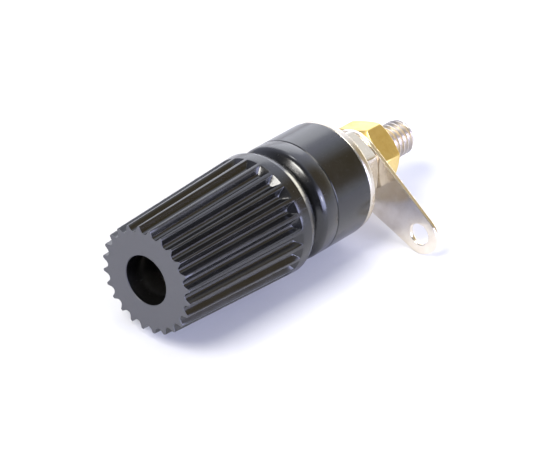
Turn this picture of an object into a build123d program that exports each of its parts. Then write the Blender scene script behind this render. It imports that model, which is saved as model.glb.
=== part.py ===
from build123d import *
import math
import os

# Insulated panel terminal, with its post level as in an upright panel, and turned as it
# lies loose on a bench, on the knob's rear edge, the rear bush and the tip of the tag.
# Millimetres. +Z is up, +Y runs along the post towards the rear stud, and the origin is
# on the axis in the panel plane, where the front and rear bushes meet.

# Bushes
bush_radius = 6.5
front_bush_thickness = 3.4
front_edge_round = 1.5
rear_bush_thickness = 5.4
rear_edge_round = 0.25
joint_edge_bevel = 0.12
spigot_radius = 4.0
spigot_length = 3.0
spigot_flat = 3.6
spigot_clearance = 0.1
spigot_end_clearance = 0.2

# Post: socket, thread for the knob, flange, flatted shank and rear stud
socket_radius = 2.0
socket_depth = 13.9
socket_lead_in = 0.3
drill_point_angle = 118.0
post_thread_radius = 3.0
post_reach = 14.3
post_lead_bevel = 0.35
flange_radius = 4.3
flange_thickness = 1.2
flange_seat_depth = 0.7
flange_clearance = 0.1
shank_radius = 3.0
shank_flat = 2.5
shank_length = 4.9
shank_clearance = 0.1
wire_hole_radius = 1.4
wire_hole_offset = 0.3
stud_radius = 2.0
stud_end_bevel = 0.35
stud_spare = 4.8

# Knob
knob_length = 19.1
knob_front_radius = 6.0
knob_rear_radius = 6.9
knob_gap = 0.3
face_edge_bevel = 0.05
collar_length = 2.4
rear_bevel_length = 1.1
rear_bevel_depth = 0.45
mouth_radius = 2.75
mouth_bevel = 0.1
post_end_clearance = 0.3
post_side_clearance = 0.25

# Grooves round the knob
flute_count = 24
flute_turn = 3.7
flute_front_depth = 0.72
flute_rear_depth = 0.75
flute_half_angle = 40.0
flute_root_radius = 0.25
flute_wall_lean = 20.0

# Threaded insert in the knob
insert_length = 8.0
insert_wall = 1.5
insert_seat_gap = 0.05
insert_bevel = 0.2
insert_groove_width = 1.4
insert_groove_depth = 0.4
insert_fit_clearance = 0.03
thread_clearance = 0.08

# Rear stack
stud_hole_clearance = 0.15
nut_thread_clearance = 0.03
flat_washer_radius = 6.4
flat_washer_thickness = 0.8
washer_edge_round = 0.12
spring_washer_wall = 1.45
spring_washer_thickness = 1.0
spring_washer_gap = 0.5
spring_washer_slant = 20.0
spring_washer_turn = 139.5
nut_across_flats = 7.0
panel_nut_height = 3.1
panel_nut_turn = 41.2
terminal_nut_height = 3.0
terminal_nut_turn = 24.7
nut_corner_angle = 30.0
nut_face_share = 0.95
nut_mouth_bevel = 0.25
tag_thickness = 0.5
tag_ring_radius = 3.7
tag_reach = 10.7
tag_end_radius = 2.35
tag_eye_radius = 1.22
tag_angle = -21.5

# Planes along the axis, from the face of the knob to the end of the stud
bush_face_y = -front_bush_thickness
flange_rear_y = bush_face_y + flange_seat_depth
flange_front_y = flange_rear_y - flange_thickness
post_mouth_y = flange_front_y - post_reach
knob_rear_y = bush_face_y - knob_gap
knob_face_y = knob_rear_y - knob_length
collar_front_y = knob_rear_y - collar_length
insert_rear_y = flange_front_y - insert_seat_gap
insert_front_y = insert_rear_y - insert_length
flat_washer_y = rear_bush_thickness
spring_washer_y = flat_washer_y + flat_washer_thickness
panel_nut_y = spring_washer_y + spring_washer_thickness
tag_y = panel_nut_y + panel_nut_height
terminal_nut_y = tag_y + tag_thickness
stud_end_y = terminal_nut_y + terminal_nut_height + stud_spare
overshoot = 1.0


def turned(*profile):
    """A solid of revolution about the post's axis, from (y, radius) points."""
    return revolve(Plane.YZ * make_face(Polyline(*profile, close=True)), Axis.Y)


def rod(radius, y_start, y_end):
    """A plain cylinder on the axis between two planes."""
    return turned((y_start, 0), (y_end, 0), (y_end, radius), (y_start, radius))


def slab(outline, y_start, y_end):
    """An outline in X and Z, made solid between two planes."""
    plane = Plane(origin=(0, y_end, 0), x_dir=(1, 0, 0), z_dir=(0, -1, 0))
    return extrude(plane * outline, amount=y_end - y_start)


def flatted(radius, *flats):
    """A round outline cut off by flats; each is (distance, direction in degrees)."""
    outline = Circle(radius)
    for distance, direction in flats:
        waste = Pos(distance + radius, 0) * Rectangle(2 * radius, 4 * radius)
        outline = outline - Rot(Z=direction) * waste
    return outline


def spin_up(solid, elevation):
    """Turn a piece drawn at the top of the axis to an angle above +X."""
    return solid.rotate(Axis.Y, 90 - elevation)


def knob_radius_at(y):
    share = (y - knob_face_y) / (knob_rear_y - rear_bevel_length - knob_face_y)
    return knob_front_radius + share * (knob_rear_radius - knob_front_radius)


def flute():
    """One groove: a rounded V whose floor rises gently and ends in a sloping wall."""
    floor_front = knob_front_radius - flute_front_depth
    floor_rear = knob_radius_at(collar_front_y) - flute_rear_depth
    climb = math.atan2(floor_rear - floor_front, collar_front_y - knob_face_y)
    half_angle = math.radians(flute_half_angle)
    root_drop = flute_root_radius * (1 / math.sin(half_angle) - 1)
    apex = floor_front - overshoot * math.tan(climb) - root_drop
    height = knob_rear_radius
    half_width = height * math.tan(half_angle)
    outline = make_face(Polyline((0, 0), (half_width, height), (-half_width, height), close=True))
    root = outline.vertices().sort_by(Axis.Y)[0]
    outline = fillet(root, flute_root_radius)
    start = Plane(origin=(0, knob_face_y - overshoot, apex), x_dir=(1, 0, 0), z_dir=(0, -1, 0))
    cutter = extrude(start * outline, amount=2 * knob_length, dir=(0, math.cos(climb), math.sin(climb)))
    lean = math.radians(flute_wall_lean)
    wall = Plane(
        origin=(0, collar_front_y, knob_radius_at(collar_front_y)),
        z_dir=(0, math.cos(lean), -math.sin(lean)),
    )
    return split(cutter, bisect_by=wall, keep=Keep.BOTTOM)


def knob():
    """Moulded clamp knob: tapered, grooved, with a collar and a bevelled rear edge."""
    bevel_y = knob_rear_y - rear_bevel_length
    insert_radius = post_thread_radius + insert_wall
    pocket_radius = insert_radius + insert_fit_clearance
    pocket_front_y = insert_front_y - insert_fit_clearance
    rib_radius = pocket_radius - insert_groove_depth
    rib_half = insert_groove_width / 2 - insert_fit_clearance
    rib_y = (insert_front_y + insert_rear_y) / 2
    clear_radius = post_thread_radius + post_side_clearance
    bore_end_y = post_mouth_y - post_end_clearance
    body = turned(
        (knob_face_y, mouth_radius + mouth_bevel),
        (knob_face_y, knob_front_radius - face_edge_bevel),
        (knob_face_y + face_edge_bevel, knob_radius_at(knob_face_y + face_edge_bevel)),
        (bevel_y, knob_rear_radius),
        (knob_rear_y, knob_rear_radius - rear_bevel_depth),
        (knob_rear_y, pocket_radius),
        (rib_y + rib_half, pocket_radius),
        (rib_y + rib_half, rib_radius),
        (rib_y - rib_half, rib_radius),
        (rib_y - rib_half, pocket_radius),
        (pocket_front_y, pocket_radius),
        (pocket_front_y, clear_radius),
        (bore_end_y, clear_radius),
        (bore_end_y, mouth_radius),
        (knob_face_y + mouth_bevel, mouth_radius),
    )
    pitch = 360 / flute_count
    cutter = flute()
    return body - [spin_up(cutter, flute_turn + (i + 0.5) * pitch) for i in range(flute_count)]


def knob_insert():
    """Brass insert with a retaining groove that the knob's moulding fills."""
    outer = post_thread_radius + insert_wall
    bore = post_thread_radius + thread_clearance
    groove = outer - insert_groove_depth
    middle = (insert_front_y + insert_rear_y) / 2
    half = insert_groove_width / 2
    return turned(
        (insert_front_y, bore + insert_bevel),
        (insert_front_y, outer - insert_bevel),
        (insert_front_y + insert_bevel, outer),
        (middle - half, outer),
        (middle - half, groove),
        (middle + half, groove),
        (middle + half, outer),
        (insert_rear_y - insert_bevel, outer),
        (insert_rear_y, outer - insert_bevel),
        (insert_rear_y, bore + insert_bevel),
        (insert_rear_y - insert_bevel, bore),
        (insert_front_y + insert_bevel, bore),
    )


def post():
    """The one turned metal piece: socket, knob thread, flange, shank and rear stud."""
    shank_end_y = flange_rear_y + shank_length
    body = turned(
        (post_mouth_y, 0),
        (post_mouth_y, post_thread_radius - post_lead_bevel),
        (post_mouth_y + post_lead_bevel, post_thread_radius),
        (flange_front_y, post_thread_radius),
        (flange_front_y, flange_radius),
        (flange_rear_y, flange_radius),
        (flange_rear_y, stud_radius),
        (stud_end_y - stud_end_bevel, stud_radius),
        (stud_end_y, stud_radius - stud_end_bevel),
        (stud_end_y, 0),
    )
    body = body + slab(flatted(shank_radius, (shank_flat, 90), (shank_flat, 270)), flange_rear_y, shank_end_y)
    socket_end_y = post_mouth_y + socket_depth
    drill_point = socket_radius / math.tan(math.radians(drill_point_angle / 2))
    socket = turned(
        (post_mouth_y, 0),
        (post_mouth_y, socket_radius + socket_lead_in),
        (post_mouth_y + socket_lead_in, socket_radius),
        (socket_end_y, socket_radius),
        (socket_end_y + drill_point, 0),
    )
    wire_hole_y = flange_front_y - wire_hole_offset - wire_hole_radius
    wire_hole = Pos(0, wire_hole_y, 0) * Rot(Y=90) * Cylinder(wire_hole_radius, 4 * post_thread_radius)
    return body - socket - wire_hole


def front_bush():
    """Moulded bush with a seat for the flange and a flatted spigot through the panel."""
    body = turned(
        (bush_face_y, 0),
        (bush_face_y, bush_radius),
        (-joint_edge_bevel, bush_radius),
        (0, bush_radius - joint_edge_bevel),
        (0, 0),
    )
    front_edge = body.edges().filter_by(GeomType.CIRCLE).sort_by(Axis.Y)[0]
    body = fillet(front_edge, front_edge_round)
    body = body + slab(flatted(spigot_radius, (spigot_flat, 90)), 0, spigot_length)
    seat = rod(flange_radius + flange_clearance, bush_face_y - overshoot, flange_rear_y)
    flat = shank_flat + shank_clearance
    bore = slab(
        flatted(shank_radius + shank_clearance, (flat, 90), (flat, 270)),
        flange_rear_y,
        spigot_length,
    )
    return body - seat - bore


def rear_bush():
    """Moulded bush with a flatted recess for the spigot and a hole for the stud."""
    body = turned(
        (0, 0),
        (0, bush_radius - joint_edge_bevel),
        (joint_edge_bevel, bush_radius),
        (rear_bush_thickness, bush_radius),
        (rear_bush_thickness, 0),
    )
    rear_edge = body.edges().filter_by(GeomType.CIRCLE).sort_by(Axis.Y)[-1]
    body = fillet(rear_edge, rear_edge_round)
    recess = slab(
        flatted(spigot_radius + spigot_clearance, (spigot_flat + spigot_clearance, 90)),
        0,
        spigot_length + spigot_end_clearance,
    )
    return body - recess - rod(stud_radius + stud_hole_clearance, 0, rear_bush_thickness)


def flat_washer():
    """Wide stamped washer with softened edges."""
    end_y = flat_washer_y + flat_washer_thickness
    body = rod(flat_washer_radius, flat_washer_y, end_y)
    body = fillet(body.edges().filter_by(GeomType.CIRCLE), washer_edge_round)
    return body - rod(stud_radius + stud_hole_clearance, flat_washer_y, end_y)


def spring_washer():
    """Split spring washer, pressed flat by the nut."""
    end_y = spring_washer_y + spring_washer_thickness
    inner = stud_radius + stud_hole_clearance
    outer = inner + spring_washer_wall
    ring = rod(outer, spring_washer_y, end_y) - rod(inner, spring_washer_y, end_y)
    middle = (inner + outer) / 2
    cut = Box(spring_washer_gap, 4 * spring_washer_thickness, 2 * spring_washer_wall)
    cut = Pos(0, (spring_washer_y + end_y) / 2, middle) * Rot(Z=spring_washer_slant) * cut
    return ring - spin_up(cut, spring_washer_turn)


def hexagon_nut(start_y, height, corner_turn):
    """Hexagon nut with both faces bevelled at the corners."""
    end_y = start_y + height
    flat_radius = nut_across_flats / 2
    corner_radius = flat_radius / math.cos(math.pi / 6)
    face_radius = nut_face_share * flat_radius
    bevel = (corner_radius - face_radius) * math.tan(math.radians(nut_corner_angle))
    hexagon = RegularPolygon(corner_radius, 6, rotation=corner_turn)
    crown = turned(
        (start_y, 0),
        (start_y, face_radius),
        (start_y + bevel, corner_radius),
        (end_y - bevel, corner_radius),
        (end_y, face_radius),
        (end_y, 0),
    )
    bore_radius = stud_radius + nut_thread_clearance
    bore = turned(
        (start_y, 0),
        (start_y, bore_radius + nut_mouth_bevel),
        (start_y + nut_mouth_bevel, bore_radius),
        (end_y - nut_mouth_bevel, bore_radius),
        (end_y, bore_radius + nut_mouth_bevel),
        (end_y, 0),
    )
    return (slab(hexagon, start_y, end_y) & crown) - bore


def solder_tag():
    """Stamped tag: a ring on the stud and a tapered arm with a round end and an eye."""
    ring = Circle(tag_ring_radius)
    end = Pos(tag_reach, 0) * Circle(tag_end_radius)
    outline = make_hull((ring.edges() + end.edges()))
    outline = outline - Circle(stud_radius + stud_hole_clearance)
    outline = outline - Pos(tag_reach, 0) * Circle(tag_eye_radius)
    return slab(Rot(Z=tag_angle) * outline, tag_y, tag_y + tag_thickness)


pieces = {
    "knob": knob(),
    "knob_insert": knob_insert(),
    "post": post(),
    "front_bush": front_bush(),
    "rear_bush": rear_bush(),
    "flat_washer": flat_washer(),
    "spring_washer": spring_washer(),
    "panel_nut": hexagon_nut(panel_nut_y, panel_nut_height, panel_nut_turn),
    "solder_tag": solder_tag(),
    "terminal_nut": hexagon_nut(terminal_nut_y, terminal_nut_height, terminal_nut_turn),
}

os.makedirs("parts", exist_ok=True)
for name, solid in pieces.items():
    export_step(solid, f"parts/{name}.step")
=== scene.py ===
import bmesh
import bpy
import math
from mathutils import Matrix, Vector


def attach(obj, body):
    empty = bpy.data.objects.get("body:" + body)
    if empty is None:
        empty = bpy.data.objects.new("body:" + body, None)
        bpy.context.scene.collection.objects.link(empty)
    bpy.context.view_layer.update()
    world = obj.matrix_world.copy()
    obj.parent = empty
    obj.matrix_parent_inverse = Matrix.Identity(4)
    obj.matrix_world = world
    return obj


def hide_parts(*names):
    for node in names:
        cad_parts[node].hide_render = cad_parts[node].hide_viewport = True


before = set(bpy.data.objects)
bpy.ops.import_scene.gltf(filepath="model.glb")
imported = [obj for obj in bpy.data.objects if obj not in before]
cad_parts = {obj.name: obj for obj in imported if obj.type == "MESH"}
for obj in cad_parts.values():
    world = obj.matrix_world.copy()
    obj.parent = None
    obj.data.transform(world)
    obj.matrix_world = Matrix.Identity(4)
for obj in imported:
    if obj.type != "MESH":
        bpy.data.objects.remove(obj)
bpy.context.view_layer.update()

# Camera. A long lens looks down along the knob at the open end of the socket. It is rolled a
# little, because the terminal lies with its post out of level.
mm = 0.001
view_azimuth, view_elevation, view_roll = math.radians(35.69), math.radians(35.01), math.radians(8.81)
view_distance, aim_right, aim_up = 350 * mm, -2.298 * mm, -2.902 * mm
away = Vector((
    math.sin(view_azimuth) * math.cos(view_elevation),
    -math.cos(view_azimuth) * math.cos(view_elevation),
    math.sin(view_elevation),
))
camera = bpy.data.objects.new("camera", bpy.data.cameras.new("camera"))
camera.data.sensor_width = 36
camera.data.lens = 220.33
camera.data.clip_start, camera.data.clip_end = 0.01, 20
facing = away.to_track_quat("Z", "Y").to_matrix() @ Matrix.Rotation(view_roll, 3, "Z")
aim = facing @ Vector((aim_right, aim_up, 0))
look = (aim - away * view_distance).to_track_quat("-Z", "Y").to_matrix() @ Matrix.Rotation(view_roll, 3, "Z")
camera.matrix_world = Matrix.Translation(away * view_distance) @ look.to_4x4()
bpy.context.scene.collection.objects.link(camera)
bpy.context.scene.camera = camera


# Post. One turned and nickel-plated brass piece: a socket inside an M6 thread for the knob,
# a flange, a flatted shank through the bushes and an M4 stud behind. Here a plain turned body
# is joined to two bevelled threads, and then the socket and the wire hole are bored.
same_point, same_rim = 0.0002 * mm, 0.002 * mm


def turned(*profile, steps=96, closed=True):
    """A bmesh turned about the post's axis from (y, radius) points in millimetres."""
    bm = bmesh.new()
    points = [bm.verts.new((0, y * mm, radius * mm)) for y, radius in profile]
    pairs = list(zip(points, points[1:])) + [(points[-1], points[0])] * closed
    outline = points + [bm.edges.new(pair) for pair in pairs]
    bmesh.ops.spin(
        bm, geom=outline, cent=(0, 0, 0), axis=(0, 1, 0), angle=2 * math.pi, steps=steps, use_merge=True
    )
    bmesh.ops.remove_doubles(bm, verts=bm.verts, dist=same_point)
    bmesh.ops.recalc_face_normals(bm, faces=bm.faces)
    return bm


def off_axis(vertex):
    """How far a vertex is from the post's axis, in metres."""
    return math.hypot(vertex.co.x, vertex.co.z)


def rims(bm, *places):
    """The round edges of a turned piece that lie at these (y, radius) places."""
    def there(vertex, y, radius):
        return abs(vertex.co.y - y * mm) < same_rim and abs(off_axis(vertex) - radius * mm) < same_rim

    return [e for e in bm.edges if any(all(there(v, *place) for v in e.verts) for place in places)]


def soften(bm, edges, width, segments=2):
    """Rounds edges by a width in millimetres."""
    bmesh.ops.bevel(
        bm, geom=edges, offset=width * mm, offset_type="OFFSET", segments=segments,
        profile=0.5, affect="EDGES", clamp_overlap=True, material=-1,
    )


def flatten(bm, y_start, y_end, radius, low, high):
    """Cuts flats, square to Z, on the round walls of one radius between two planes."""
    for v in bm.verts:
        between_ends = y_start * mm - same_point < v.co.y < y_end * mm + same_point
        if between_ends and abs(off_axis(v) - radius * mm) < same_rim:
            v.co.z = min(max(v.co.z, low * mm), high * mm)


def swing(bm, angle, axis="Y"):
    """Turns a whole bmesh about an axis through the origin."""
    bmesh.ops.rotate(bm, verts=bm.verts, cent=(0, 0, 0), matrix=Matrix.Rotation(angle, 3, axis))


def piece(name, bm):
    """A smooth-shaded object from a bmesh, with the shading of its flats kept flat."""
    mesh = bpy.data.meshes.new(name)
    for face in bm.faces:
        face.smooth = True
    for edge in bm.edges:
        edge.smooth = len(edge.link_faces) == 2 and edge.calc_face_angle() < math.radians(50)
    bm.to_mesh(mesh)
    bm.free()
    thing = bpy.data.objects.new(name, mesh)
    bpy.context.scene.collection.objects.link(thing)
    return thing


def even_shading(thing):
    """Weights the corner normals by face, so that small bevels take all the turning."""
    weighted = thing.modifiers.new("shading", "WEIGHTED_NORMAL")
    weighted.weight = 100
    weighted.keep_sharp = True


def thread(y_start, y_end, radius, pitch, steps, end_bevel):
    """A right-hand thread: one tooth's outline wound along the axis, its ends squared and bevelled."""
    crest_end, root_start, root_end, depth = 0.125, 0.479, 0.646, 0.6134 * pitch
    turns = math.ceil((y_end - y_start) / pitch) + 2
    tooth = [
        (0, radius), (crest_end, radius), (root_start, radius - depth), (root_end, radius - depth),
        (1, radius),
    ]
    bm = bmesh.new()
    points = [bm.verts.new((0, (y_start + (share - 1) * pitch) * mm, r * mm)) for share, r in tooth]
    outline = points + [bm.edges.new(pair) for pair in zip(points, points[1:])]
    bmesh.ops.spin(
        bm, geom=outline, cent=(0, 0, 0), axis=(0, 1, 0), dvec=(0, pitch / steps * mm, 0),
        angle=2 * math.pi * turns, steps=steps * turns,
    )
    bmesh.ops.remove_doubles(bm, verts=bm.verts, dist=0.001 * mm)
    for y, direction in ((y_start, -1), (y_end, 1)):
        for inset in (0, end_bevel / 3, end_bevel * 2 / 3, end_bevel):
            bmesh.ops.bisect_plane(
                bm, geom=bm.verts[:] + bm.edges[:] + bm.faces[:], dist=1e-8,
                plane_co=(0, (y - direction * inset) * mm, 0), plane_no=(0, direction, 0),
                clear_outer=inset == 0,
            )
    for v in bm.verts:
        across = off_axis(v)
        limit = (radius - end_bevel) * mm + min(v.co.y - y_start * mm, y_end * mm - v.co.y)
        if across > limit:
            v.co.x, v.co.z = v.co.x * limit / across, v.co.z * limit / across
    bmesh.ops.holes_fill(bm, edges=[e for e in bm.edges if e.is_boundary], sides=0)
    bmesh.ops.recalc_face_normals(bm, faces=bm.faces)
    return bm


def cut(thing, *steps):
    """Joins or bores a piece with other meshes, one after another, and keeps the result."""
    tools = [piece("tool", bm) for _, bm in steps]
    for (operation, _), tool in zip(steps, tools):
        boolean = thing.modifiers.new(operation, "BOOLEAN")
        boolean.operation, boolean.solver, boolean.object = operation, "EXACT", tool
    result = bpy.data.meshes.new_from_object(thing.evaluated_get(bpy.context.evaluated_depsgraph_get()))
    thing.modifiers.clear()
    thing.data = result
    for tool in tools:
        bpy.data.objects.remove(tool)


flange_front_y, flange_rear_y, flange_radius = -3.9, -2.7, 4.3
post_mouth_y, stud_end_y, thread_overlap, thread_bevel = -18.2, 18.6, 0.2, 0.35
post_radius, post_pitch, post_core_radius = 3.0, 0.75, 2.45
shank_radius, shank_end_y, shank_flat = 3.0, 2.2, 2.5
stud_radius, stud_pitch, stud_core_radius, stud_thread_y = 2.0, 0.7, 1.5, 4.5
socket_radius, socket_floor_y, socket_tip_y, mouth_flare = 2.0, -4.3, -3.1, 0.3
wire_hole_radius, wire_hole_reach, wire_hole_y = 1.4, 4, -5.6
post_core = turned(
    (post_mouth_y + thread_overlap, 0), (post_mouth_y + thread_overlap, post_core_radius),
    (flange_front_y, post_core_radius), (flange_front_y, flange_radius), (flange_rear_y, flange_radius),
    (flange_rear_y, shank_radius), (shank_end_y, shank_radius), (shank_end_y, stud_radius),
    (stud_thread_y + 0.1, stud_radius), (stud_thread_y + 0.1, stud_core_radius),
    (stud_end_y - thread_overlap, stud_core_radius), (stud_end_y - thread_overlap, 0), closed=False,
)
soften(post_core, rims(post_core, (flange_front_y, flange_radius), (flange_rear_y, flange_radius)), 0.12)
flatten(post_core, flange_rear_y, shank_end_y, shank_radius, -shank_flat, shank_flat)
socket = turned(
    (post_mouth_y - mouth_flare, 0), (post_mouth_y - mouth_flare, socket_radius + 2 * mouth_flare),
    (post_mouth_y + mouth_flare, socket_radius), (socket_floor_y, socket_radius), (socket_tip_y, 0),
    closed=False,
)
# The thread and the wire hole are each turned a little, so that no corner of one falls on a
# wall of the other.
knob_thread = thread(post_mouth_y, flange_front_y + thread_overlap, post_radius, post_pitch, 48, thread_bevel)
swing(knob_thread, math.radians(2))
wire_hole = turned(
    (-wire_hole_reach, 0), (-wire_hole_reach, wire_hole_radius), (wire_hole_reach, wire_hole_radius),
    (wire_hole_reach, 0), closed=False, steps=32,
)
swing(wire_hole, math.radians(3))
swing(wire_hole, math.pi / 2, "Z")
bmesh.ops.translate(wire_hole, verts=wire_hole.verts, vec=(0, wire_hole_y * mm, 0))
post = piece("post_turned", post_core)
cut(
    post,
    ("UNION", knob_thread),
    ("UNION", thread(stud_thread_y, stud_end_y, stud_radius, stud_pitch, 40, thread_bevel)),
    ("DIFFERENCE", socket),
    ("DIFFERENCE", wire_hole),
)


class Wire:
    """An output in a material. Arithmetic on it adds Math nodes, and make() adds any other node."""

    def __init__(self, tree, socket=None):
        self.tree, self.socket = tree, socket

    def make(self, kind, settings=None, sockets=None, output=0):
        node = self.tree.nodes.new("ShaderNode" + kind)
        for name, value in (settings or {}).items():
            if name == "stops":
                while len(node.color_ramp.elements) < len(value):
                    node.color_ramp.elements.new(1)
                for stop, (place, colour) in zip(node.color_ramp.elements, value):
                    stop.position, stop.color = place, colour
            else:
                setattr(node, name, value)
        for name, value in (sockets or {}).items():
            if isinstance(value, Wire):
                self.tree.links.new(node.inputs[name], value.socket)
            else:
                node.inputs[name].default_value = value
        return Wire(self.tree, node.outputs[output])

    def maths(self, operation, first, second):
        return self.make("Math", {"operation": operation}, {0: first, 1: second})

    def __add__(self, other):
        return self.maths("ADD", self, other)

    def __radd__(self, other):
        return self.maths("ADD", other, self)

    def __sub__(self, other):
        return self.maths("SUBTRACT", self, other)

    def __rsub__(self, other):
        return self.maths("SUBTRACT", other, self)

    def __mul__(self, other):
        return self.maths("MULTIPLY", self, other)

    def __rmul__(self, other):
        return self.maths("MULTIPLY", other, self)

    def between(self, low, high):
        """0 below low, 1 above high, and a smooth ramp between."""
        return self.make(
            "MapRange", {"interpolation_type": "SMOOTHSTEP"},
            {"Value": self, "From Min": low, "From Max": high, "To Min": 0.0, "To Max": 1.0},
        )


class Finish(Wire):
    """A new surface finish, with the object's own coordinates ready as places."""

    def __init__(self, name):
        self.material = bpy.data.materials.new(name)
        self.material.use_nodes = True
        super().__init__(self.material.node_tree)
        self.shader = self.tree.nodes["Principled BSDF"]
        self.places = self.make("TexCoord", output=3)

    def stretched(self, x, y, z):
        """The places, multiplied along each axis, so that a pattern is drawn out."""
        return self.make("Mapping", {"vector_type": "POINT"}, {"Vector": self.places, "Scale": (x, y, z)})

    def noise(self, scale, detail, roughness, places=None):
        """Cloudy noise from 0 to 1; scale is in waves per metre."""
        sockets = {"Vector": places or self.places, "Scale": scale, "Detail": detail, "Roughness": roughness}
        return self.make("TexNoise", {}, sockets)

    def blend(self, factor, first, second):
        """A colour between two, by a factor."""
        return self.make("Mix", {"data_type": "RGBA"}, {0: factor, 6: first, 7: second}, output=2)

    def bump(self, height, distance, strength, under=None):
        """A surface normal from a height pattern; distance is in metres."""
        sockets = {"Height": height, "Distance": distance, "Strength": strength}
        if under:
            sockets["Normal"] = under
        return self.make("Bump", {}, sockets)

    def surface(self, **sockets):
        """Sets the shader's sockets, by name with _ for a space."""
        for name, value in sockets.items():
            socket = self.shader.inputs[name.replace("_", " ")]
            if isinstance(value, Wire):
                self.tree.links.new(socket, value.socket)
            else:
                socket.default_value = value
        return self.material


def dress(thing, material, body, node):
    """Gives a piece its finish, ties it to its body and puts it in place of its solid."""
    thing.data.materials.clear()
    thing.data.materials.append(material)
    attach(thing, body)
    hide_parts(node)


def plated(name, tone, shade, gloss, ring_scale, ring_depth):
    """Plated metal: rings left by turning or stamping, a slow change of tone and faint stains."""
    finish = Finish(name)
    cloud = finish.noise(260.0, 4.0, 0.6)
    rings = finish.noise(ring_scale, 2.0, 0.5, finish.stretched(0.15, 1.0, 0.15))
    stain = finish.noise(900.0, 5.0, 0.65).between(0.6, 0.78)
    colour = finish.blend(cloud.between(0.35, 0.7), tone, shade)
    colour = finish.blend(stain * 0.35, colour, tuple(0.62 * c for c in shade[:3]) + (1,))
    return finish.surface(
        Base_Color=colour,
        Metallic=1.0,
        Roughness=gloss + 0.10 * cloud + 0.12 * stain,
        Normal=finish.bump(rings, ring_depth * mm, 0.6),
    )


dress(
    post,
    plated("bright_plating", (0.64, 0.60, 0.56, 1), (0.54, 0.495, 0.45, 1), 0.28, 9000.0, 0.01),
    "terminal", "post",
)


# Front bush. Moulded black insulator: a coned front with a soft shoulder, a seat for the
# flange, and a spigot that passes through the panel, whose one flat stops it from turning.
def black_moulding(name, seed, satin_and_sheen_until=None):
    """Glossy black moulding: a faint mottle, fine rubs and a little dust; in front of a plane a rougher
    satin, whose lighter bluish grey is a painted sheen.
    """
    finish = Finish(name)
    moved = finish.make("Mapping", {}, {"Vector": finish.places, "Location": (seed, seed * 0.7, 0)})
    mottle = finish.noise(420.0, 5.0, 0.6, moved)
    grain = finish.noise(5200.0, 3.0, 0.55, moved)
    rubs = finish.noise(2400.0, 3.0, 0.6, finish.stretched(1.0, 0.07, 1.0)).between(0.55, 0.75)
    dust = finish.noise(7800.0, 2.0, 0.5, moved).between(0.71, 0.78)
    colour = finish.blend(mottle.between(0.3, 0.75), (0.0025, 0.0025, 0.0026, 1), (0.006, 0.0058, 0.0056, 1))
    roughness = 0.15 + 0.10 * mottle + 0.10 * rubs
    if satin_and_sheen_until is not None:
        along = finish.make("SeparateXYZ", {}, {"Vector": finish.places}, output=1)
        satin_and_painted_sheen = 1.0 - along.between((satin_and_sheen_until - 0.04) * mm, (satin_and_sheen_until + 0.04) * mm)
        # The satin face's lighter, bluish grey is a painted sheen: it stands in for the bright bench that the
        # face reflects.
        colour = finish.blend(satin_and_painted_sheen, colour, (0.068, 0.069, 0.080, 1))
        roughness = roughness + satin_and_painted_sheen * 0.28
    colour = finish.blend(dust * 0.3, colour, (0.12, 0.115, 0.11, 1))
    return finish.surface(
        Base_Color=colour,
        Roughness=roughness + 0.2 * dust,
        IOR=1.6,
        Normal=finish.bump(grain + 0.7 * mottle, 0.004 * mm, 0.5),
    )


bush_radius, bush_front_y, bush_front_radius, shoulder_y = 6.5, -3.4, 4.8, -2.1
seat_radius, seat_y, shank_hole, hole_flat = 4.4, -2.7, 3.1, 2.6
spigot_radius, spigot_end_y, spigot_flat, no_flat = 4.0, 3.0, 3.6, -5
edge_round = 0.12
front_bush = turned(
    (bush_front_y, seat_radius), (bush_front_y, bush_front_radius), (shoulder_y, bush_radius),
    (0, bush_radius), (0, spigot_radius), (spigot_end_y, spigot_radius), (spigot_end_y, shank_hole),
    (seat_y, shank_hole), (seat_y, seat_radius), steps=144,
)
soften(front_bush, rims(front_bush, (shoulder_y, bush_radius)), 0.42, segments=8)
moulded_edges = rims(
    front_bush, (0, bush_radius), (bush_front_y, seat_radius), (bush_front_y, bush_front_radius),
    (spigot_end_y, spigot_radius),
)
soften(front_bush, moulded_edges, edge_round)
flatten(front_bush, 0, spigot_end_y, spigot_radius, no_flat, spigot_flat)
flatten(front_bush, spigot_end_y - 0.1, spigot_end_y, spigot_radius - edge_round, no_flat, spigot_flat - 0.1)
flatten(front_bush, seat_y, spigot_end_y, shank_hole, -hole_flat, hole_flat)
front_bush = piece("front_bush_moulded", front_bush)
even_shading(front_bush)
dress(front_bush, black_moulding("black_front", 0.3), "terminal", "front_bush")


# Rear bush. The same black moulding, with a flatted recess that takes the spigot's end and a
# hole for the stud. A fine line shows where the two bushes meet.
bush_rear_y, stud_hole, recess_y, recess_radius, recess_flat = 5.4, 2.15, 3.2, 4.1, 3.7
rear_bush = turned(
    (0, recess_radius), (0, bush_radius), (bush_rear_y, bush_radius), (bush_rear_y, stud_hole),
    (recess_y, stud_hole), (recess_y, recess_radius), steps=144,
)
soften(rear_bush, rims(rear_bush, (0, bush_radius)), edge_round)
soften(rear_bush, rims(rear_bush, (bush_rear_y, bush_radius)), 0.25, segments=4)
flatten(rear_bush, 0, recess_y, recess_radius, no_flat, recess_flat)
rear_bush = piece("rear_bush_moulded", rear_bush)
even_shading(rear_bush)
dress(rear_bush, black_moulding("black_rear", 0.8), "terminal", "rear_bush")


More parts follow.
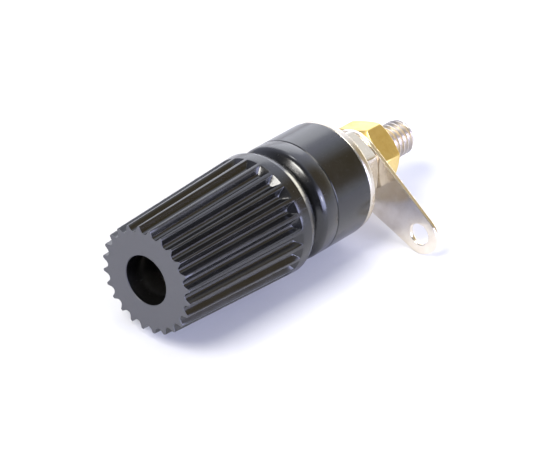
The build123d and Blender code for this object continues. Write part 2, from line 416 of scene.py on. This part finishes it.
# Flat washer. Stamped from sheet and nickel plated, nearly as wide as the bush that it bears
# on, with its edges rolled over by the punch and tumbling.
washer_radius, washer_rear_y = 6.4, 6.2
flat_washer = turned(
    (bush_rear_y, stud_hole), (bush_rear_y, washer_radius), (washer_rear_y, washer_radius),
    (washer_rear_y, stud_hole), steps=144,
)
washer_rims = rims(flat_washer, (bush_rear_y, washer_radius), (washer_rear_y, washer_radius))
soften(flat_washer, washer_rims, 0.12, segments=3)
flat_washer = piece("flat_washer_stamped", flat_washer)
even_shading(flat_washer)
nickel = plated("nickel_plating", (0.65, 0.60, 0.51, 1), (0.55, 0.49, 0.40, 1), 0.22, 7000.0, 0.012)
dress(flat_washer, nickel, "terminal", "flat_washer")


# Spring washer. A square wire coiled to one turn, cut on the slant and nickel plated; the
# nut has pressed it flat.
spring_radius, spring_rear_y = 3.6, 7.2
middle_radius, middle_y = (stud_hole + spring_radius) / 2, (washer_rear_y + spring_rear_y) / 2
gap_angle, gap_turn, gap_slant = 0.5 / middle_radius, math.radians(90 - 139.5), math.radians(20)
square_edge = 1.0
spring_bm = bmesh.new()
section = [
    (washer_rear_y, stud_hole), (washer_rear_y, spring_radius),
    (spring_rear_y, spring_radius), (spring_rear_y, stud_hole),
]
corners = [spring_bm.verts.new((0, y * mm, radius * mm)) for y, radius in section]
wire_end = spring_bm.faces.new(corners)
swept = bmesh.ops.spin(
    spring_bm, geom=[wire_end], cent=(0, 0, 0), axis=(0, 1, 0), angle=2 * math.pi - gap_angle, steps=80
)
bmesh.ops.recalc_face_normals(spring_bm, faces=spring_bm.faces)
soften(spring_bm, [e for e in spring_bm.edges if e.calc_face_angle(0) > square_edge], 0.1)
for v in spring_bm.verts:
    slant = math.tan(gap_slant) * (v.co.y - middle_y * mm) / (middle_radius * mm)
    v.co = Matrix.Rotation(slant + gap_angle / 2 + gap_turn, 3, "Y") @ v.co
spring_washer = piece("spring_washer_coiled", spring_bm)
even_shading(spring_washer)
dress(spring_washer, nickel, "terminal", "spring_washer")


# Panel nut. A 7 mm hexagon nut, nickel plated, bevelled at its corners on both faces. It
# clamps the bushes to the panel.
def hexagon_nut(name, y_start, height, corner_turn):
    """A nut turned as a round blank, its sides then drawn in to flats under the crown's cone."""
    flat_radius, bore_radius, countersink, columns = 3.5, 2.03, 0.25, 14
    crown_radius, blank_radius, y_end = 0.95 * flat_radius, flat_radius + 1, y_start + height
    crown_slope, corner_radius = math.tan(math.radians(30)), 1.154 * flat_radius
    bm = turned(
        (y_start, bore_radius + countersink), (y_start, crown_radius), (y_start + 1, blank_radius),
        (y_end - 1, blank_radius), (y_end, crown_radius), (y_end, bore_radius + countersink),
        (y_end - countersink, bore_radius), (y_start + countersink, bore_radius), steps=6 * columns,
    )
    middle = (y_start + y_end) / 2
    for v in bm.verts:
        if off_axis(v) > (blank_radius - 0.5) * mm:
            turn = math.atan2(v.co.x, v.co.z)
            off_flat = (turn + math.pi / 6) % (math.pi / 3) - math.pi / 6
            radius = flat_radius / math.cos(off_flat)
            drop = (radius - crown_radius) * crown_slope
            y = y_start + drop if v.co.y < middle * mm else y_end - drop
            v.co = Vector((radius * math.sin(turn), y, radius * math.cos(turn))) * mm
    corners = [
        e for e in bm.edges
        if all(off_axis(v) > corner_radius * mm for v in e.verts)
        and abs(e.verts[0].co.y - e.verts[1].co.y) > 0.5 * mm
    ]
    soften(bm, corners, 0.12, segments=3)
    crown = [
        e for e in bm.edges
        if 0.35 < e.calc_face_angle(0) < 1.2
        and min(off_axis(v) for v in e.verts) > (crown_radius - 0.125) * mm
    ]
    soften(bm, crown, 0.05)
    swing(bm, math.radians(90 - corner_turn + 30))
    nut = piece(name, bm)
    even_shading(nut)
    return nut


panel_nut = hexagon_nut("panel_nut_hexagon", y_start=spring_rear_y, height=3.1, corner_turn=41.2)
dress(panel_nut, nickel, "terminal", "panel_nut")


# Solder tag. Stamped from 0.5 mm brass strip and bright tinned: a ring on the stud and an arm
# that narrows to a round end with an eye. The edges are soft and the tin is slightly wavy.
tag_reach, ring_radius, end_radius, eye_radius = 10.7, 3.7, 2.35, 1.22
tag_y, tag_thickness, tag_turn = 10.3, 0.5, math.radians(21.5)
tag_bm = bmesh.new()


def round_line(bm, centre, radius, start, sweep, steps):
    """Part of a circle in the tag's plane, wound from one vertex; returns its two ends."""
    turn = Matrix.Rotation(-math.radians(start), 3, "Y")
    first = bm.verts.new(Vector((centre * mm, 0, 0)) + turn @ Vector((radius * mm, 0, 0)))
    wound = bmesh.ops.spin(
        bm, geom=[first], cent=(centre * mm, 0, 0), axis=(0, -1, 0), angle=math.radians(sweep), steps=steps,
        use_merge=sweep == 360,
    )
    return first, wound["geom_last"][0]


meet = math.degrees(math.acos((ring_radius - end_radius) / tag_reach))
ring_start, ring_end = round_line(tag_bm, 0, ring_radius, meet, 360 - 2 * meet, 56)
arm_start, arm_end = round_line(tag_bm, tag_reach, end_radius, -meet, 2 * meet, 40)
tag_bm.edges.new((ring_end, arm_start))
tag_bm.edges.new((arm_end, ring_start))
round_line(tag_bm, 0, stud_hole, 0, 360, 48)
round_line(tag_bm, tag_reach, eye_radius, 0, 360, 40)
bmesh.ops.triangle_fill(tag_bm, edges=tag_bm.edges, use_beauty=True)
grown = bmesh.ops.extrude_face_region(tag_bm, geom=tag_bm.faces[:])
raised = [v for v in grown["geom"] if isinstance(v, bmesh.types.BMVert)]
bmesh.ops.translate(tag_bm, verts=raised, vec=(0, tag_thickness * mm, 0))
bmesh.ops.recalc_face_normals(tag_bm, faces=tag_bm.faces)
soften(tag_bm, [e for e in tag_bm.edges if e.calc_face_angle(0) > square_edge], 0.09)
bmesh.ops.translate(tag_bm, verts=tag_bm.verts, vec=(0, tag_y * mm, 0))
swing(tag_bm, tag_turn)
solder_tag = piece("solder_tag_stamped", tag_bm)
even_shading(solder_tag)
tin = Finish("bright_tin")
flow = tin.noise(170.0, 3.0, 0.45)
film = tin.noise(700.0, 4.0, 0.6)
tin_colour = tin.blend(film.between(0.35, 0.75), (0.89, 0.83, 0.72, 1), (0.79, 0.715, 0.60, 1))
dress(
    solder_tag,
    tin.surface(
        Base_Color=tin_colour,
        Metallic=1.0,
        Roughness=0.10 + 0.16 * film,
        Normal=tin.bump(film, 0.006 * mm, 0.4, tin.bump(flow, 0.12 * mm, 0.6)),
    ),
    "terminal", "solder_tag",
)


# Terminal nut. The same nut in plain brass, sawn and milled from hexagon bar and a little
# tarnished. It clamps the tag on the stud.
terminal_nut = hexagon_nut("terminal_nut_hexagon", y_start=10.8, height=3.0, corner_turn=24.7)
brass = Finish("plain_brass")
tarnish = brass.noise(480.0, 5.0, 0.62)
spots = brass.noise(2600.0, 3.0, 0.6).between(0.62, 0.74)
milled = brass.noise(6000.0, 2.0, 0.5, brass.stretched(1.0, 0.12, 1.0))
brass_colour = brass.blend(tarnish.between(0.35, 0.7), (0.78, 0.595, 0.22, 1), (0.65, 0.455, 0.13, 1))
dress(
    terminal_nut,
    brass.surface(
        Base_Color=brass.blend(spots * 0.4, brass_colour, (0.42, 0.28, 0.10, 1)),
        Metallic=1.0,
        Roughness=0.24 + 0.18 * tarnish + 0.15 * spots,
        Normal=brass.bump(milled, 0.012 * mm, 0.5),
    ),
    "terminal", "terminal_nut",
)


# Knob insert. A turned brass bush with the knob's thread in it, moulded into the knob by a
# groove round its middle. Its rear end is what clamps a wire against the flange.
insert_front_y, insert_rear_y, insert_radius, insert_bore = -11.95, -3.95, 4.5, 3.08
neck_front_y, neck_rear_y, neck_radius = -8.65, -7.25, 4.1
insert = turned(
    (insert_front_y, insert_bore), (insert_front_y, insert_radius), (neck_front_y, insert_radius),
    (neck_front_y, neck_radius), (neck_rear_y, neck_radius), (neck_rear_y, insert_radius),
    (insert_rear_y, insert_radius), (insert_rear_y, insert_bore),
)
insert_rims = rims(
    insert, (insert_front_y, insert_radius), (insert_rear_y, insert_radius), (insert_front_y, insert_bore),
    (insert_rear_y, insert_bore),
)
soften(insert, insert_rims, 0.2, segments=1)
insert = piece("knob_insert_turned", insert)
even_shading(insert)
turned_brass = Finish("turned_brass")
lathe = turned_brass.noise(9000.0, 2.0, 0.5, turned_brass.stretched(0.1, 1.0, 0.1))
dull = turned_brass.noise(600.0, 4.0, 0.6)
dress(
    insert,
    turned_brass.surface(
        Base_Color=turned_brass.blend(dull.between(0.35, 0.7), (0.84, 0.66, 0.33, 1), (0.74, 0.55, 0.25, 1)),
        Metallic=1.0,
        Roughness=0.2 + 0.15 * dull,
        Normal=turned_brass.bump(lathe, 0.01 * mm, 0.6),
    ),
    "screw_carrier", "knob_insert",
)


# Knob. Glossy black moulding, tapered towards the socket's mouth, with 24 rounded V grooves
# for the fingers. Each groove runs out in a sloping wall at a plain collar, whose rear edge
# is bevelled and polished. The front face is left with the mould's satin texture, and its
# lighter bluish grey colour is a painted sheen of the bright bench in front of it.
knob_face_y, knob_rear_y, collar_front_y, knob_bevel_y = -22.8, -3.7, -6.1, -4.8
knob_front_radius, knob_rear_radius, rear_bevel_depth = 6.0, 6.9, 0.45
grooves, groove_turn, root_round = 24, 3.7, 0.45
front_depth, rear_depth = 0.72, 0.75
wall_lean = math.tan(math.radians(45))
half_angle = math.radians(32)
slope = math.tan(half_angle)
root_steps = 8
columns = root_steps + 6
period = 2 * math.pi / grooves
mouth_radius, post_room, post_room_y, insert_fit = 2.75, 3.25, -18.5, 0.03


def cone_radius(y):
    share = (y - knob_face_y) / (knob_bevel_y - knob_face_y)
    return knob_front_radius + share * (knob_rear_radius - knob_front_radius)


def groove_section(y, crest_radius):
    """The outline of one groove at a plane: (angle from its middle, radius) for each column."""
    share = (y - knob_face_y) / (collar_front_y - knob_face_y)
    floor_front = knob_front_radius - front_depth
    floor = floor_front + share * (cone_radius(collar_front_y) - rear_depth - floor_front)
    apex = floor - root_round * (1 / math.sin(half_angle) - 1)
    centre = apex + root_round / math.sin(half_angle)
    root = []
    for i in range(root_steps + 1):
        tilt = (i / root_steps * 2 - 1) * (math.pi / 2 - half_angle)
        root.append((root_round * math.sin(tilt), centre - root_round * math.cos(tilt)))
    spread = 1 + slope ** 2
    reach = (apex * slope ** 2 + math.sqrt(crest_radius ** 2 * spread - (apex * slope) ** 2)) / spread
    edge = ((reach - apex) * slope, reach)
    middle = tuple((at_edge + at_root) / 2 for at_edge, at_root in zip(edge, root[-1]))
    half = [edge, middle]
    points = [(-across, up) for across, up in half] + root + half[::-1]
    return [(math.atan2(*point), math.hypot(*point)) for point in points] + [(period / 2, crest_radius)]


# The blank's rings: hair tells planes apart, in millimetres, and foot_y and top_y become the
# foot and the top of each groove's sloping wall.
hair, crest_bevel, ring_count, last_ring_y = 0.001, 0.05, 12, collar_front_y - 1.1
ring_ys = [knob_face_y, knob_face_y + crest_bevel]
ring_ys += [knob_face_y + (last_ring_y - knob_face_y) * (i + 1) / ring_count for i in range(ring_count)]
foot_y, top_y, even_y = collar_front_y - 2 * hair, collar_front_y + 2 * hair, collar_front_y + 0.4
blank_radius, pocket_radius, rib_radius = 8, insert_radius + insert_fit, neck_radius + insert_fit
outer = [(y, blank_radius) for y in ring_ys + [foot_y, top_y, even_y, knob_bevel_y, knob_rear_y]]
inner = [
    (knob_rear_y, pocket_radius), (neck_rear_y - insert_fit, pocket_radius),
    (neck_rear_y - insert_fit, rib_radius), (neck_front_y + insert_fit, rib_radius),
    (neck_front_y + insert_fit, pocket_radius), (insert_front_y - insert_fit, pocket_radius),
    (insert_front_y - insert_fit, post_room), (post_room_y, post_room), (post_room_y, mouth_radius),
]
knob_bm = turned((knob_face_y, mouth_radius), *outer, *inner, steps=grooves * columns)
soften(knob_bm, rims(knob_bm, (knob_face_y, mouth_radius)), 0.1)
for v in knob_bm.verts:
    if off_axis(v) < (blank_radius - 0.1) * mm:
        continue
    y = v.co.y / mm
    column = round(math.atan2(v.co.z, v.co.x) / (period / columns)) % (grooves * columns)
    groove, k = divmod(column, columns)
    if y > even_y - hair:
        turn = (k - columns // 2 + 1) * period / columns
        radius = knob_rear_radius - rear_bevel_depth if y > knob_rear_y - hair else cone_radius(y)
    elif y > foot_y - hair:
        rim = cone_radius(collar_front_y)
        turn, radius = groove_section(collar_front_y, rim)[k]
        if y > top_y - hair:
            radius = rim
        y = collar_front_y + wall_lean * (radius * math.cos(turn) - rim)
        if radius < rim - 10 * hair:
            turn, radius = groove_section(y, rim)[k]
    else:
        crest = cone_radius(y) - (crest_bevel if y < knob_face_y + hair else 0)
        turn, radius = groove_section(y, crest)[k]
    place = math.radians(groove_turn) + (groove + 0.5) * period + turn
    v.co = Vector((radius * math.cos(place), y, radius * math.sin(place))) * mm
bmesh.ops.remove_doubles(knob_bm, verts=knob_bm.verts, dist=2 * hair * mm)
bmesh.ops.recalc_face_normals(knob_bm, faces=knob_bm.faces)
bore_limit, sharp_angle = 5.1 * mm, math.radians(22)
sharp = [
    e for e in knob_bm.edges
    if e.calc_face_angle(0) > sharp_angle and min(off_axis(v) for v in e.verts) > bore_limit
]
soften(knob_bm, sharp, 0.04)
knob = piece("knob_moulded", knob_bm)
for polygon in knob.data.polygons:
    if all(abs(knob.data.vertices[i].co.y - knob_face_y * mm) < same_point for i in polygon.vertices):
        polygon.use_smooth = False
even_shading(knob)
# Everything in front of this plane is the satin face, with its painted sheen.
knob_black = black_moulding("black_knob", 1.4, knob_face_y + 0.08)
dress(knob, knob_black, "clamp_knob", "knob")


# Bench and light. A plain white bench, touched by the knob's rear edge, the rear bush and the
# tag's tip. The key lamp stands high in front; cooler screens and a small window light the
# sides and the back of a pale room that is darker in front and brown above on the right.
bench_slope, bench_gap = 0.04, 0.02
bench_height = -knob_rear_radius - knob_bevel_y * bench_slope - bench_gap
bench_bm = bmesh.new()
bmesh.ops.create_grid(bench_bm, x_segments=8, y_segments=8, size=1.5)
swing(bench_bm, math.atan(bench_slope), "X")
bmesh.ops.translate(bench_bm, verts=bench_bm.verts, vec=(0, 0, bench_height * mm))
bench = piece("bench", bench_bm)
paper = Finish("white_card")
fibre = paper.noise(900.0, 4.0, 0.6)
bench.data.materials.append(paper.surface(
    Base_Color=paper.blend(fibre, (0.70, 0.70, 0.70, 1), (0.73, 0.73, 0.73, 1)),
    Roughness=0.8,
    Specular_IOR_Level=0.2,
    Normal=paper.bump(fibre, 0.01 * mm, 0.3),
))


def soft_lamp(name, place, width, height, radiance, colour):
    """A flat lamp of even brightness that faces the object."""
    lamp = bpy.data.objects.new(name, bpy.data.lights.new(name, "AREA"))
    lamp.data.shape, lamp.data.size, lamp.data.size_y = "RECTANGLE", width, height
    lamp.data.energy, lamp.data.color = radiance * math.pi * width * height, colour
    lamp.location = place
    lamp.rotation_euler = Vector(place).to_track_quat("Z", "Y").to_euler()
    bpy.context.scene.collection.objects.link(lamp)


soft_lamp("key", (-0.06, -0.40, 0.45), 0.24, 0.26, 20.0, (1.0, 0.98, 0.93))
soft_lamp("skylight", (-0.20, 0.12, 0.56), 0.11, 0.11, 8.0, (1.0, 1.0, 1.0))
soft_lamp("back_screen", (-0.46, 0.46, 0.20), 0.50, 0.46, 1.5, (0.97, 0.98, 1.0))
soft_lamp("low_screen", (0.0, 0.80, 0.10), 0.45, 0.18, 6.5, (1.0, 0.93, 0.74))
soft_lamp("side_screen", (0.70, 0.04, 0.28), 0.76, 0.44, 7.6, (0.58, 0.62, 1.0))
soft_lamp("side_window", (0.70, 0.0, 0.33), 0.09, 0.11, 28.0, (1.0, 1.0, 1.0))
room = bpy.data.worlds.new("room")
room.use_nodes = True
air = Wire(room.node_tree)
way = air.make("TexCoord", output=3)
back_right, front = (0.480, 0.665, 0.572), (0.25, -0.80, 0.545)
towards_back = air.make("VectorMath", {"operation": "DOT_PRODUCT"}, {0: way, 1: back_right}, output=1)
walls = air.make(
    "ValToRGB",
    {"stops": [
        (0.10, (0.60, 0.63, 0.80, 1)), (0.50, (1.15, 1.20, 1.40, 1)), (0.73, (1.15, 1.20, 1.45, 1)),
        (0.83, (0.95, 1.00, 1.10, 1)), (0.90, (0.68, 0.66, 0.63, 1)), (0.955, (0.36, 0.29, 0.15, 1)),
    ]},
    {"Fac": towards_back},
)
towards_front = air.make("VectorMath", {"operation": "DOT_PRODUCT"}, {0: way, 1: front}, output=1)
shade = towards_front.between(0.05, 0.75)
sky = room.node_tree.nodes["Background"]
room.node_tree.links.new(sky.inputs["Color"], walls.socket)
room.node_tree.links.new(sky.inputs["Strength"], (1.3 - 1.1 * shade).socket)
bpy.context.scene.world = room
bpy.context.scene.view_settings.view_transform = "Standard"
